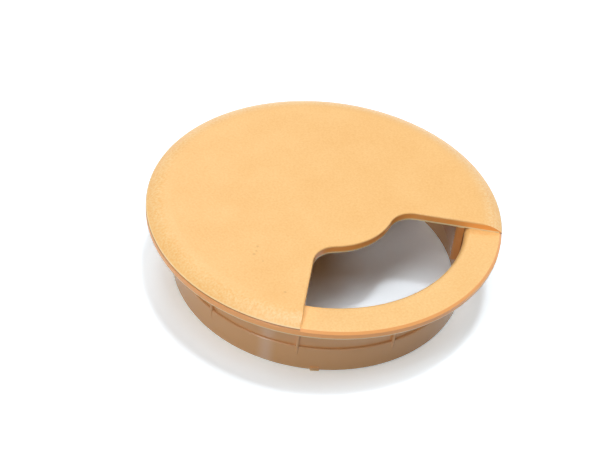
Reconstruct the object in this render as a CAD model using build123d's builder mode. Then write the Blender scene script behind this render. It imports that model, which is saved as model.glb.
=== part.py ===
# Desk cable grommet in two mouldings: a flanged liner that presses into a 60 mm hole in a desk top,
# and a cap that plugs into the liner and turns in it, with a quarter cut out of it for the cables.
# Millimetres, +Z up, the tube's lower rim on Z = 0, the middle of the cable cut-out along -Y.
import os

from build123d import *

os.makedirs("parts", exist_ok=True)

# Liner: the tube in the hole and the flange on the desk top
hole_d = 60.0
flange_d = 70.0
flange_t = 1.7
flange_top_break = 0.4
flange_low_break = 0.2
flange_low_lead = 0.45
mouth_round = 1.45
tube_depth = 13.9
tube_wall = 1.75
tube_clear = 0.5
rim_break = 0.2
rim_lead = 0.35

# The upper band of the tube is set back from the lower one by a small ledge
ledge_z = 5.7
ledge_depth = 0.45
ledge_break = 0.15

# Crush ribs: thin wedges that run out of the lower band and bite into the hole under the flange
rib_count = 10
rib_w = 0.6
rib_foot_z = 3.3
rib_foot_lead = 1.0
rib_foot_proud = 0.15
rib_bite = 0.15
rib_break = 0.2
rib_turn = 26.2

# Cut-off stub of the gate that the liner was filled through
gate_w = 1.8
gate_h = 0.9
gate_proud = 0.2
gate_turn = -38.7

# Cap: the plate with its crowned rim, and the plug skirt in the liner's bore
cap_t = 1.7
crown_w = 4.8
rim_land = 0.06
rim_bevel_w = 0.12
rim_bevel_h = 0.16
skirt_clear = 0.1
skirt_t = 1.6
skirt_depth = 8.6
skirt_lead = 0.4
skirt_end_break = 0.35

# Cable cut-out: a sector of the cap, closed on the inside by the round hub
cut_angle = 90.0
hub_r = 13.75
cut_corner_r = 4.8
cut_top_round = 0.3

# Worked out from the sizes above
flange_r = flange_d / 2
flange_low_z = tube_depth
seat_z = flange_low_z + flange_t
band_r = hole_d / 2 - tube_clear
upper_r = band_r - ledge_depth
bore_r = band_r - tube_wall
rib_crest_r = hole_d / 2 + rib_bite
rib_root_r = (bore_r + upper_r) / 2
cap_r = flange_r
cap_top_z = seat_z + cap_t
skirt_r = bore_r - skirt_clear
skirt_low_z = seat_z - skirt_depth
cut_reach = 2 * cap_r


def corner(section, x, z):
    """The corner of a turned section at radius x and height z."""
    return section.vertices().sort_by_distance((x, z))[0]


# One crush rib, along +X: its crest leans out from the lower band to the underside of the flange
with BuildPart() as rib:
    with BuildSketch(Plane.XZ):
        Polygon(
            (rib_root_r, rib_foot_z),
            (band_r, rib_foot_z),
            (band_r + rib_foot_proud, rib_foot_z + rib_foot_lead),
            (rib_crest_r, flange_low_z),
            (rib_root_r, flange_low_z),
            align=None,
        )
    extrude(amount=rib_w / 2, both=True)
    crest = rib.faces().sort_by(Axis.X)[-1]
    chamfer(crest.edges().sort_by(Axis.Y)[:1] + crest.edges().sort_by(Axis.Y)[-1:], rib_break)

# The gate stub, along +X, at the foot of the tube
with BuildPart() as gate:
    with BuildSketch(Plane.XY):
        with Locations(((bore_r + band_r) / 2, 0)):
            Rectangle(tube_wall / 2 + gate_proud, gate_w, align=(Align.MIN, Align.CENTER))
    extrude(amount=gate_h)
    fillet(gate.edges().filter_by(Axis.Z).sort_by(Axis.X)[-2:], gate_proud)

# Liner: one turned section, then the ribs and the gate stub
with BuildPart() as liner:
    with BuildSketch(Plane.XZ) as liner_section:
        Polygon(
            (bore_r, 0),
            (band_r - rim_break, 0),
            (band_r, rim_lead),
            (band_r, ledge_z),
            (upper_r, ledge_z),
            (upper_r, flange_low_z),
            (flange_r - flange_low_break, flange_low_z),
            (flange_r, flange_low_z + flange_low_lead),
            (flange_r, seat_z),
            (bore_r, seat_z),
            align=None,
        )
        fillet(corner(liner_section, bore_r, seat_z), mouth_round)
        chamfer(corner(liner_section, flange_r, seat_z), flange_top_break)
        chamfer(corner(liner_section, band_r, ledge_z), ledge_break)
        chamfer(corner(liner_section, bore_r, 0), rim_break)
    revolve(axis=Axis.Z)
    with PolarLocations(0, rib_count, start_angle=rib_turn - 90):
        add(rib.part)
    with PolarLocations(0, 1, start_angle=gate_turn - 90):
        add(gate.part)
liner.part.label = "liner"
export_step(liner.part, "parts/liner.step")

# The cable cut-out in plan: a sector from the axis, less the hub, with its two inner corners rounded
with BuildSketch() as cut_plan:
    with BuildLine():
        right_edge = PolarLine((0, 0), cut_reach, angle=cut_angle / 2 - 90)
        left_edge = PolarLine((0, 0), cut_reach, angle=-cut_angle / 2 - 90)
        RadiusArc(left_edge @ 1, right_edge @ 1, -cut_reach)
    make_face()
    Circle(hub_r, mode=Mode.SUBTRACT)
    fillet(cut_plan.vertices().sort_by(Axis.Y)[-2:], cut_corner_r)

# Cap: the cut plate with its edges rounded, then the crown round its rim, then the plug skirt
with BuildPart() as cap:
    with BuildSketch(Plane.XY.offset(seat_z)):
        Circle(cap_r)
        add(cut_plan.sketch, mode=Mode.SUBTRACT)
    extrude(amount=cap_t)
    fillet(cap.faces().sort_by(Axis.Z)[-1].edges().sort_by(SortBy.LENGTH)[:-1], cut_top_round)
    with BuildSketch(Plane.XZ):
        with BuildLine():
            crown_end = (cap_r - rim_bevel_w, seat_z + rim_land + rim_bevel_h)
            crown = TangentArc((cap_r - crown_w, cap_top_z), crown_end, tangent=(1, 0))
            Polyline(
                crown @ 1,
                (cap_r, seat_z + rim_land),
                (cap_r + cap_t, seat_z + rim_land),
                (cap_r + cap_t, cap_top_z + cap_t),
                (cap_r - crown_w, cap_top_z + cap_t),
                crown @ 0,
            )
        make_face()
    revolve(axis=Axis.Z, mode=Mode.SUBTRACT)
    with BuildSketch(Plane.XY.offset(skirt_low_z)) as skirt_plan:
        Circle(skirt_r)
        Circle(skirt_r - skirt_t, mode=Mode.SUBTRACT)
        add(cut_plan.sketch, mode=Mode.SUBTRACT)
        chamfer(skirt_plan.vertices().sort_by_distance((0, 0))[:2], skirt_end_break)
    extrude(amount=skirt_depth + cap_t / 2)
    skirt_rim = cap.faces().sort_by(Axis.Z)[0].edges().filter_by(GeomType.CIRCLE)
    chamfer(skirt_rim.sort_by(SortBy.RADIUS)[-1], skirt_lead)
cap.part.label = "cap"
export_step(cap.part, "parts/cap.step")
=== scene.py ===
# %% [markdown]
# # Desk cable grommet
# A grommet lines the hole in a desk top that cables run through. This one is two plastic mouldings: a liner
# with a flange, and a cap with a quarter cut out of it, which turns in the liner. Both come from the CAD
# model with their final shape, so this lesson gives them their finish, a white studio and a camera.

# %% Load the CAD model
import math

import bpy
from mathutils import Matrix, Vector


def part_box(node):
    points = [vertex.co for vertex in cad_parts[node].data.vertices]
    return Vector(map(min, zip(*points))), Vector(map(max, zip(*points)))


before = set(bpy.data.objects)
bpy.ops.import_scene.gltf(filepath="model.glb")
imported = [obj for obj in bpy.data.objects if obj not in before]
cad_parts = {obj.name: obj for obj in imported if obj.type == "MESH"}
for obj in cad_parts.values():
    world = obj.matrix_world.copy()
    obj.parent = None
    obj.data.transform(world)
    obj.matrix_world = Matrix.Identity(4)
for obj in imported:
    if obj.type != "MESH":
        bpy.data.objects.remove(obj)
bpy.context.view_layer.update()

MM = 0.001
cap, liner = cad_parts["cap"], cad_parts["liner"]
cap_top_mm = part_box("cap")[1].z / MM
seat_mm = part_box("liner")[1].z / MM
outer_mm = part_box("cap")[1].x / MM
print("the cap's seat is at", round(seat_mm, 2), "mm, its top at", round(cap_top_mm, 2), "mm")
print("the rim is", round(outer_mm, 2), "mm from the axis")

# %% [markdown]
# ## Two helpers
# A photograph gives a colour as sRGB, and a shader wants it linear, so one function turns hex values into
# linear ones. Another adds a node, sets its properties, and fills each input with a value or a link. With
# that, a material reads from top to bottom like the list of its layers.

# %% Colour and node helpers
MATH, VECTOR_MATH = "ShaderNodeMath", "ShaderNodeVectorMath"
RANGE, MIX, NOISE = "ShaderNodeMapRange", "ShaderNodeMix", "ShaderNodeTexNoise"


def linear(hex_colour):
    """Linear RGBA of an sRGB hex colour such as "ffcc88"."""
    channels = [int(hex_colour[i:i + 2], 16) / 255 for i in (0, 2, 4)]
    return [c / 12.92 if c <= 0.04045 else ((c + 0.055) / 1.055) ** 2.4 for c in channels] + [1.0]


def add_node(tree, kind, inputs=None, **settings):
    """Adds a node. Each input, by name or number, gets a value, a socket, or another node's first output."""
    node = tree.nodes.new(kind)
    for name, value in settings.items():
        setattr(node, name, value)
    for name, value in (inputs or {}).items():
        if isinstance(value, bpy.types.Node):
            value = next(socket for socket in value.outputs if socket.enabled)
        if isinstance(value, bpy.types.NodeSocket):
            tree.links.new(value, node.inputs[name])
        else:
            node.inputs[name].default_value = value
    return node


print("the middle grey 808080 is", round(linear("808080")[0], 3), "in linear light")

# %% [markdown]
# ## Zones on a moulding
# One moulding has several finishes: grained where the mould was spark-eroded, smooth where a turned or
# polished steel face made it. Some zones are painted light: pale lines along edges are painted highlights,
# and dark lines are painted shade. Separate material slots would need the mesh to be cut, and the CAD mesh
# stays as it is. So a finish is placed by lengths in the part's own coordinates, such as its height or its
# distance from the axis, and it stays in place while the cap turns.

# %% Lengths, and masks made from them
ZONE_FADE_MM = 0.03


def lengths_on(tree):
    """The place on the part, and the lengths that zones are measured by."""
    place = add_node(tree, "ShaderNodeTexCoord").outputs["Object"]
    axes = add_node(tree, "ShaderNodeSeparateXYZ", {"Vector": place}).outputs
    flat = add_node(tree, VECTOR_MATH, {0: place, 1: (1.0, 1.0, 0.0)}, operation="MULTIPLY")
    radius = add_node(tree, VECTOR_MATH, {0: flat}, operation="LENGTH").outputs["Value"]
    return {"place": place, "x": axes["X"], "y": axes["Y"], "height": axes["Z"], "radius": radius}


def within(tree, *ranges, fade_mm=ZONE_FADE_MM):
    """A mask: 1 where every length lies in its range of millimetres, with soft ends. None is no limit."""
    mask = 1.0
    for length, low_mm, high_mm in ranges:
        for end_mm, rise_mm in ((low_mm, fade_mm), (high_mm, -fade_mm)):
            if end_mm is not None:
                ramp = add_node(tree, RANGE, {
                    "Value": length,
                    "From Min": (end_mm - rise_mm) * MM, "From Max": (end_mm + rise_mm) * MM})
                mask = add_node(tree, MATH, {0: mask, 1: ramp}, operation="MULTIPLY")
    return mask


def line_at(length, level_mm, span_mm):
    """The range of a thin line, which spans from below to above a level."""
    return length, level_mm + span_mm[0], level_mm + span_mm[1]


print("the end of a zone fades over", 2 * ZONE_FADE_MM, "mm")

# %% [markdown]
# ## Moulded polypropylene
# Both pieces are injection-moulded polypropylene, coloured through in the tan of beech. Its refractive index
# is 1.49, which gives a soft white sheen. The grain of the mould breaks that sheen up on the faces that show
# on the desk, and the smooth faces mirror the card a little. The grain could be modelled or drawn in an
# image, but it is far too fine for a mesh, so a noise makes the bump, the roughness and the speckle of
# colour at once. A second, broad noise is the slow change of colour from the way the plastic flowed.

# %% Grain and flow
GRAIN_MM = 0.42  # such a grain is about 0.1 mm, too fine to show here, so it is drawn coarser
GRAIN_DETAIL = 2.0
FLOW_MM = 9.0
FLOW_DETAIL = 3.0


def grain_and_flow(tree, place):
    """The two noises of a moulding: its fine grain, and the broad change where the plastic flowed."""
    grain = add_node(tree, NOISE, {"Vector": place, "Scale": 1 / (GRAIN_MM * MM), "Detail": GRAIN_DETAIL})
    flow = add_node(tree, NOISE, {"Vector": place, "Scale": 1 / (FLOW_MM * MM), "Detail": FLOW_DETAIL})
    return grain.outputs["Fac"], flow.outputs["Fac"]


print("grain of", GRAIN_MM, "mm and flow of", FLOW_MM, "mm")

# %% Colour in layers
GRAIN_SHARE = 0.6
SPECKLE_RANGE = (0.32, 0.68)


def layered_colour(tree, face_tans, grain, flow, layers):
    """The speckled tan of the grained faces, with each layer of mask, strength and colour laid over it."""
    noise = add_node(tree, MIX, {"Factor": GRAIN_SHARE, "A": flow, "B": grain})
    speckle = add_node(tree, RANGE, {
        "Value": noise, "From Min": SPECKLE_RANGE[0], "From Max": SPECKLE_RANGE[1]})
    colour = add_node(tree, MIX, {"Factor": speckle, "A": linear(face_tans[0]), "B": linear(face_tans[1])},
                      data_type="RGBA")
    for mask, strength, hex_colour in layers:
        share = add_node(tree, MATH, {0: mask, 1: strength}, operation="MULTIPLY")
        colour = add_node(tree, MIX, {"Factor": share, "A": colour, "B": linear(hex_colour)},
                          data_type="RGBA")
    return colour


print("the grain makes", GRAIN_SHARE, "of the speckle, and the flow the rest")

# %% The plastic
PLASTIC_IOR = 1.49
GRAIN_DEPTH_MM = 0.028
GRAINED_ROUGHNESS = (0.30, 0.44)
SMOOTH_ROUGHNESS = (0.14, 0.20)


def moulded_polypropylene(name, face_tans, zones):
    """Tan plastic. zones(tree, at) gives the mask of the smooth faces, and the layers of colour."""
    material = bpy.data.materials.new(name)
    material.use_nodes = True
    tree = material.node_tree
    tree.nodes.clear()
    at = lengths_on(tree)
    grain, flow = grain_and_flow(tree, at["place"])
    smooth, layers = zones(tree, {**at, "grain": grain})

    grained = add_node(tree, MATH, {0: 1.0, 1: smooth}, operation="SUBTRACT")
    relief = add_node(tree, MATH, {0: grain, 1: grained}, operation="MULTIPLY")
    bump = add_node(tree, "ShaderNodeBump", {
        "Height": relief, "Distance": GRAIN_DEPTH_MM * MM, "Strength": 1.0})
    matt = add_node(tree, RANGE, {
        "Value": grain, "To Min": GRAINED_ROUGHNESS[0], "To Max": GRAINED_ROUGHNESS[1]})
    shiny = add_node(tree, RANGE, {
        "Value": flow, "To Min": SMOOTH_ROUGHNESS[0], "To Max": SMOOTH_ROUGHNESS[1]})
    plastic = add_node(tree, "ShaderNodeBsdfPrincipled", {
        "Base Color": layered_colour(tree, face_tans, grain, flow, layers),
        "Roughness": add_node(tree, MIX, {"Factor": smooth, "A": matt, "B": shiny}),
        "IOR": PLASTIC_IOR, "Normal": bump})
    add_node(tree, "ShaderNodeOutputMaterial", {"Surface": plastic})
    return material


def finish_with(node_object, material):
    """Gives a CAD node its one material."""
    node_object.data.materials.clear()
    node_object.data.materials.append(material)
    print(node_object.name, "is finished with", material.name, "in", len(material.node_tree.nodes), "nodes")


print("roughness", GRAINED_ROUGHNESS, "where grained,", SMOOTH_ROUGHNESS, "where smooth")

# %% [markdown]
# ## The cap
# The cap's top and its crowned rim are grained. The walls of the cut-out and the skirt came off polished
# steel, so they are smooth. The walls' deeper orange is a painted glow, for light that the plastic carries
# through itself and bounces between its walls, and the skirt is a darker tan. A thin pale line along the
# walls' lower edge is a painted highlight. The paler tips of the crown's grain and a pale line along the
# rim's lower edge are painted highlights too. A dark line in the seam below the rim is painted shade, where
# little light gets in. A few specks and a short scuff mark the top. All of them could be separate pieces,
# but they have no thickness, so they are layers of colour.

# %% Places on the cap
FACE_SKIN_MM = 0.1  # a mask ends this far off a face, so that the face is wholly in it or out of it
EDGE_ROUND_MM = 0.3
CROWN_WIDTH_MM = 4.7
# the crown's painted highlight: its width, and how softly it fades inward
CROWN_HIGHLIGHT_WIDTH_MM = 3.2
CROWN_HIGHLIGHT_FADE_MM = 0.8
RIM_WIDTH_MM = 0.4
# a painted highlight along the lower edge of the cut-out's walls: its ends from the axis, and its band of
# height
LOWER_EDGE_ENDS_MM = (10.0, 34.4)  # from the axis
LOWER_EDGE_LINE_MM = (-FACE_SKIN_MM, 0.35)  # from below the seat to above it, like the next two
RIM_HIGHLIGHT_MM = (0.12, 0.30)
SEAM_LINE_MM = (-FACE_SKIN_MM, 0.12)
SPECKS_MM = (  # x, y, radius
    (-19.5, -4.3, 0.24), (-20.4, -5.2, 0.18), (-21.3, -5.7, 0.28), (-22.4, -16.9, 0.26), (-21.0, -8.1, 0.16))
SPECK_FADE_MM = 0.12

wall_top_mm = cap_top_mm - EDGE_ROUND_MM
rim_from_mm = outer_mm - RIM_WIDTH_MM
print("the walls end at", round(wall_top_mm, 2), "mm above the floor")
print("the rim's edge starts at", round(rim_from_mm, 2), "mm from the axis")

# %% Finish of the cap
CAP_TAN = ("f5bc6f", "fdcb83")
# painted glow: the walls' deeper orange stands for light that the plastic carries through itself and bounces
# between its walls
WALL_PAINTED_GLOW = "fdb161"
SKIRT_TAN = "d28f50"
# painted highlight colour, for the crown's grain tips and the pale lines along edges of both parts
PALE_HIGHLIGHT_TAN = "fde7b6"
# painted shade for the seam under the rim
SEAM_SHADE = "9d6532"
SPECK_BROWN = "eab26a"
TIP_RANGE = (0.36, 0.66)
TIP_HIGHLIGHT_STRENGTH = 0.32
# painted highlight on the rim's lower edge
RIM_HIGHLIGHT_STRENGTH = 0.5


def cap_zones(tree, at):
    """The smooth faces of the cap, and its colours from the lowest layer to the highest."""
    height, radius = at["height"], at["radius"]
    aside = add_node(tree, MATH, {0: at["x"]}, operation="ABSOLUTE")
    off_wall = add_node(tree, MATH, {0: aside, 1: at["y"]}, operation="ADD")
    under_top = (height, None, wall_top_mm)
    hub_walls = within(tree, under_top, (radius, None, outer_mm - CROWN_WIDTH_MM))
    straight_walls = within(tree, under_top, (off_wall, -FACE_SKIN_MM, FACE_SKIN_MM))
    smooth = add_node(tree, MATH, {0: hub_walls, 1: straight_walls}, operation="MAXIMUM")
    skirt = within(tree, (height, None, seat_mm - FACE_SKIN_MM))
    # painted highlight along the lower edge of the cut-out's walls
    lower_edge_highlight = within(tree, line_at(height, seat_mm, LOWER_EDGE_LINE_MM), (radius, *LOWER_EDGE_ENDS_MM))
    # painted highlight along the rim's lower edge
    rim_highlight = within(tree, line_at(height, seat_mm, RIM_HIGHLIGHT_MM), (radius, rim_from_mm, None))
    # painted shade: a dark line in the seam under the rim
    seam = within(tree, line_at(height, seat_mm, SEAM_LINE_MM), (radius, rim_from_mm, None))

    # painted highlight: the tips of the crown's grain are paler
    crown = within(tree, (radius, outer_mm - CROWN_HIGHLIGHT_WIDTH_MM, rim_from_mm), fade_mm=CROWN_HIGHLIGHT_FADE_MM)
    tips = add_node(tree, RANGE, {"Value": at["grain"], "From Min": TIP_RANGE[0], "From Max": TIP_RANGE[1]})
    crown_tip_highlights = add_node(tree, MATH, {0: crown, 1: tips}, operation="MULTIPLY")
    # painted light in these layers: highlights on the crown, the walls' lower edge and the rim, the walls'
    # deeper orange glow, and shade in the seam
    layers = [(crown_tip_highlights, TIP_HIGHLIGHT_STRENGTH, PALE_HIGHLIGHT_TAN), (smooth, 1.0, WALL_PAINTED_GLOW), (skirt, 1.0, SKIRT_TAN),
              (lower_edge_highlight, 1.0, PALE_HIGHLIGHT_TAN), (rim_highlight, RIM_HIGHLIGHT_STRENGTH, PALE_HIGHLIGHT_TAN), (seam, 1.0, SEAM_SHADE)]
    for x, y, speck_radius in SPECKS_MM:
        centre = (x * MM, y * MM, cap_top_mm * MM)
        away = add_node(tree, VECTOR_MATH, {0: at["place"], 1: centre}, operation="DISTANCE")
        speck = within(tree, (away.outputs["Value"], None, speck_radius), fade_mm=SPECK_FADE_MM)
        layers.append((speck, 1.0, SPECK_BROWN))
    return smooth, layers


finish_with(cap, moulded_polypropylene("moulded polypropylene, cap", CAP_TAN, cap_zones))

# %% [markdown]
# ## The liner
# The liner's flange is grained like the cap. The mould of its tube was turned on a lathe, so the tube is
# smooth. The tube's darker, greyer tan is painted shade under the flange and a painted white sheen. The
# flange's edge is a deeper orange, a painted glow for light that the plastic carries out from the flange's
# top. A pale line below the flange's edge and one on the tube's lower rim are painted highlights. A dark
# line on the small ledge round the tube is painted shade under the flange, and one pale streak down the
# tube is a painted reflection. The same material function makes it all, with zones of the liner's own.

# %% Places on the liner
FLANGE_MM = 1.7
FLANGE_HIGHLIGHT_MM = (-0.08, 0.32)
FLANGE_EDGE_WIDTH_MM = 0.45
FLANGE_EDGE_FROM_MM = 0.4
TUBE_MIDDLE_MM = 28.5  # inside the tube's wall, so that only its outer face lies further from the axis
TUBE_RIM_MM = 0.3
LEDGE_MM = 5.7
LEDGE_LINE_MM = (-0.08, 0.06)
# a painted reflection: where the pale streak runs down the tube, and how wide it is
REFLECTION_STREAK_TURN = math.radians(-147.5)
REFLECTION_STREAK_WIDTH = math.radians(4.5)

flange_low_mm = seat_mm - FLANGE_MM
print("the flange's underside is at", round(flange_low_mm, 2), "mm, and the ledge at", LEDGE_MM, "mm")

# %% Finish of the liner
FLANGE_TAN = ("f7c076", "fdd18c")
# a painted glow: the flange edge's deeper orange stands for light carried through the plastic from the
# flange's top
FLANGE_EDGE_GLOW = "fdb26b"
# painted shade and sheen: the tube's darker, greyer tan stands for the flange's shade above it and a white
# sheen
TUBE_SHADED_TAN = "e1ac76"
# painted shade on the ledge under the flange
LEDGE_SHADE = "d2a171"
# painted reflection: a pale streak down the tube
REFLECTION_STREAK_TAN = "e7c4a6"
REFLECTION_STREAK_STRENGTH = 0.7
# painted highlights along the flange's lower edge and the tube's lower rim
EDGE_HIGHLIGHT_STRENGTH = 0.6


def liner_zones(tree, at):
    """The smooth faces of the liner, and its colours from the lowest layer to the highest."""
    height, radius = at["height"], at["radius"]
    outside = (radius, TUBE_MIDDLE_MM, None)
    under_flange = (height, None, flange_low_mm - FACE_SKIN_MM)
    smooth = within(tree, under_flange)
    # painted shade: a dark line on the ledge round the tube
    ledge = within(tree, line_at(height, LEDGE_MM, LEDGE_LINE_MM), outside)
    # painted glow on the flange's edge
    flange_edge = within(tree, (height, flange_low_mm + FLANGE_EDGE_FROM_MM, None),
                         (radius, outer_mm - FLANGE_EDGE_WIDTH_MM, None))
    # painted highlight along the flange's lower edge
    flange_edge_highlight = within(tree, line_at(height, flange_low_mm, FLANGE_HIGHLIGHT_MM))
    # painted highlight along the tube's lower rim
    tube_rim_highlight = within(tree, (height, None, TUBE_RIM_MM))

    # painted reflection: a pale streak down the tube's outer face
    turn = add_node(tree, MATH, {0: at["y"], 1: at["x"]}, operation="ARCTAN2")
    past_line = add_node(tree, MATH, {0: turn, 1: REFLECTION_STREAK_TURN}, operation="SUBTRACT")
    off_line = add_node(tree, MATH, {0: past_line}, operation="ABSOLUTE")
    streak = add_node(tree, RANGE, {
        "Value": off_line, "From Max": REFLECTION_STREAK_WIDTH, "To Min": 1.0, "To Max": 0.0},
        interpolation_type="SMOOTHSTEP")
    tube_face = within(tree, under_flange, outside)
    reflection_streak = add_node(tree, MATH, {0: streak, 1: tube_face}, operation="MULTIPLY")
    # painted light in these layers: the tube's shade and sheen, its reflected streak, the ledge's shade, the
    # flange edge's glow and the pale edge highlights
    return smooth, [
        (smooth, 1.0, TUBE_SHADED_TAN), (reflection_streak, REFLECTION_STREAK_STRENGTH, REFLECTION_STREAK_TAN), (ledge, 1.0, LEDGE_SHADE),
        (flange_edge, 1.0, FLANGE_EDGE_GLOW), (flange_edge_highlight, EDGE_HIGHLIGHT_STRENGTH, PALE_HIGHLIGHT_TAN),
        (tube_rim_highlight, EDGE_HIGHLIGHT_STRENGTH, PALE_HIGHLIGHT_TAN)]


finish_with(liner, moulded_polypropylene("moulded polypropylene, liner", FLANGE_TAN, liner_zones))

# %% [markdown]
# ## White card
# Small goods are often shot on white card, exposed until the card is pure white. More light would do that,
# but it would bleach the plastic too. So the card is a plain grey for the light that bounces off it, and
# brighter only for what looks at it: the camera and the plastic's sheen. It still darkens where the flange
# shades it. It is seen a little blue, because the light under the flange is warm from the plastic, and the
# photograph's shadow is a plain grey.

# %% Floor
CARD_SIDE = 3.0
CARD_BOUNCE = 0.4
CARD_SEEN = [1.31, 1.455, 1.58, 1.0]


def looked_at(tree):
    """1 where the camera, a reflection or a refraction looks at a surface, 0 where light bounces off it."""
    path = add_node(tree, "ShaderNodeLightPath").outputs
    seen = add_node(tree, MATH, {0: path["Is Camera Ray"], 1: path["Is Glossy Ray"]}, operation="MAXIMUM")
    return add_node(tree, MATH, {0: seen, 1: path["Is Transmission Ray"]}, operation="MAXIMUM")


def grey(level):
    """A grey, as linear RGBA."""
    return [level, level, level, 1.0]


card = bpy.data.materials.new("white card")
card.use_nodes = True
card_tree = card.node_tree
card_tree.nodes.clear()
card_colour = add_node(card_tree, MIX, {
    "Factor": looked_at(card_tree), "A": grey(CARD_BOUNCE), "B": CARD_SEEN}, data_type="RGBA")
card_face = add_node(card_tree, "ShaderNodeBsdfDiffuse", {"Color": card_colour})
add_node(card_tree, "ShaderNodeOutputMaterial", {"Surface": card_face})

bpy.ops.mesh.primitive_plane_add(size=CARD_SIDE)
floor = bpy.context.object
floor.name = "floor"
floor.data.materials.append(card)
print("the card is seen at", CARD_SEEN[:3], "and bounces", CARD_BOUNCE)

# %% [markdown]
# ## Surroundings
# The walls of a studio stand far off, and little of their light reaches the plastic. A backdrop could stand
# for them, but the world is simpler, and it is on every side. It gives that faint light. The camera and the
# sheen see it as white, like the card, so the far edge of the card doesn't show.

# %% World
ROOM_LIGHT = 0.01
ROOM_SEEN = 1.0

world = bpy.data.worlds.new("white studio")
bpy.context.scene.world = world
world.use_nodes = True
room_tree = world.node_tree
room_tree.nodes.clear()
dim = add_node(room_tree, "ShaderNodeBackground", {"Color": grey(1.0), "Strength": ROOM_LIGHT})
white = add_node(room_tree, "ShaderNodeBackground", {"Color": grey(1.0), "Strength": ROOM_SEEN})
room = add_node(room_tree, "ShaderNodeMixShader", {0: looked_at(room_tree), 1: dim, 2: white})
add_node(room_tree, "ShaderNodeOutputWorld", {"Surface": room})
print("the room lights at", ROOM_LIGHT, "and is seen at", ROOM_SEEN)

# %% [markdown]
# ## Lamps
# The flange's shadow on the card is just as wide as the flange, with a fairly crisp edge, so one small lamp
# hangs almost straight above. Softboxes stand round it: they light the crown and the walls, and fill the
# shadow. They could be area lamps, but sun lamps do for all of them, because only their direction and their
# width in the sky matter at this size. Their directions and levels were fitted to the photograph, and then
# rounded. Each level is the share of white that the lamp alone gives a surface that faces it. On the
# cap's top they add up to about 1, so a colour renders about as it is written.

# %% Seven lamps
LAMPS = (  # name, turn about +Z, rise above the floor and width, all in degrees, and level
    ("overhead lamp", 0, 86, 7, 0.23),
    ("left overhead softbox", 185, 75, 23, 0.17),
    ("back softbox", 65, 48, 20, 0.135),
    ("right softbox", -10, 45, 45, 0.33),
    ("left softbox", 190, 50, 20, 0.155),
    ("front softbox", 213, 28, 20, 0.245),
    ("low left lamp", 138, 8, 14, 0.14),
)

top_level = 0.0
for name, turn, rise, width, level in LAMPS:
    lamp = bpy.data.lights.new(name, "SUN")
    lamp.energy = math.pi * level
    lamp.angle = math.radians(width)
    lamp_object = bpy.data.objects.new(name, lamp)
    lamp_object.rotation_euler = (0, math.radians(90 - rise), math.radians(turn))
    bpy.context.scene.collection.objects.link(lamp_object)
    top_level += level * math.sin(math.radians(rise))
print("level on the cap's top:", round(top_level, 3))

# %% [markdown]
# ## Camera
# The camera stands where the photographer's did. Its distance, height, roll and lens come from fitting the
# circles of the cap, the flange and the tube to the photograph. The lens is then 0.4 % longer, a compromise
# between the outlines of the cap and the flange. The camera could be aimed by a constraint, but a matrix
# takes the roll as well.

# %% Camera
CAMERA_DISTANCE_MM = 270.0
CAMERA_TURN = math.radians(-132.44)
CAMERA_RISE = math.radians(42.23)
CAMERA_ROLL = math.radians(6.51)
CAMERA_AIM_MM = Vector((-0.047, 6.695, 5.618))
LENS_MM = 79.3
SENSOR_MM = 36.0
NEAR_CLIP_MM = 10.0

outward = Vector((math.cos(CAMERA_RISE) * math.cos(CAMERA_TURN),
                  math.cos(CAMERA_RISE) * math.sin(CAMERA_TURN), math.sin(CAMERA_RISE)))
eye = CAMERA_DISTANCE_MM * MM * outward
look = (CAMERA_AIM_MM * MM - eye).to_track_quat("-Z", "Y").to_matrix().to_4x4()
camera = bpy.data.cameras.new("camera")
camera.lens = LENS_MM
camera.sensor_width = SENSOR_MM
camera.clip_start = NEAR_CLIP_MM * MM
camera_object = bpy.data.objects.new("camera", camera)
camera_object.matrix_world = Matrix.Translation(eye) @ look @ Matrix.Rotation(CAMERA_ROLL, 4, "Z")
bpy.context.scene.collection.objects.link(camera_object)
bpy.context.scene.camera = camera_object
bpy.context.scene.view_settings.view_transform = "Standard"
print("camera at", [round(c / MM, 1) for c in eye], "mm")
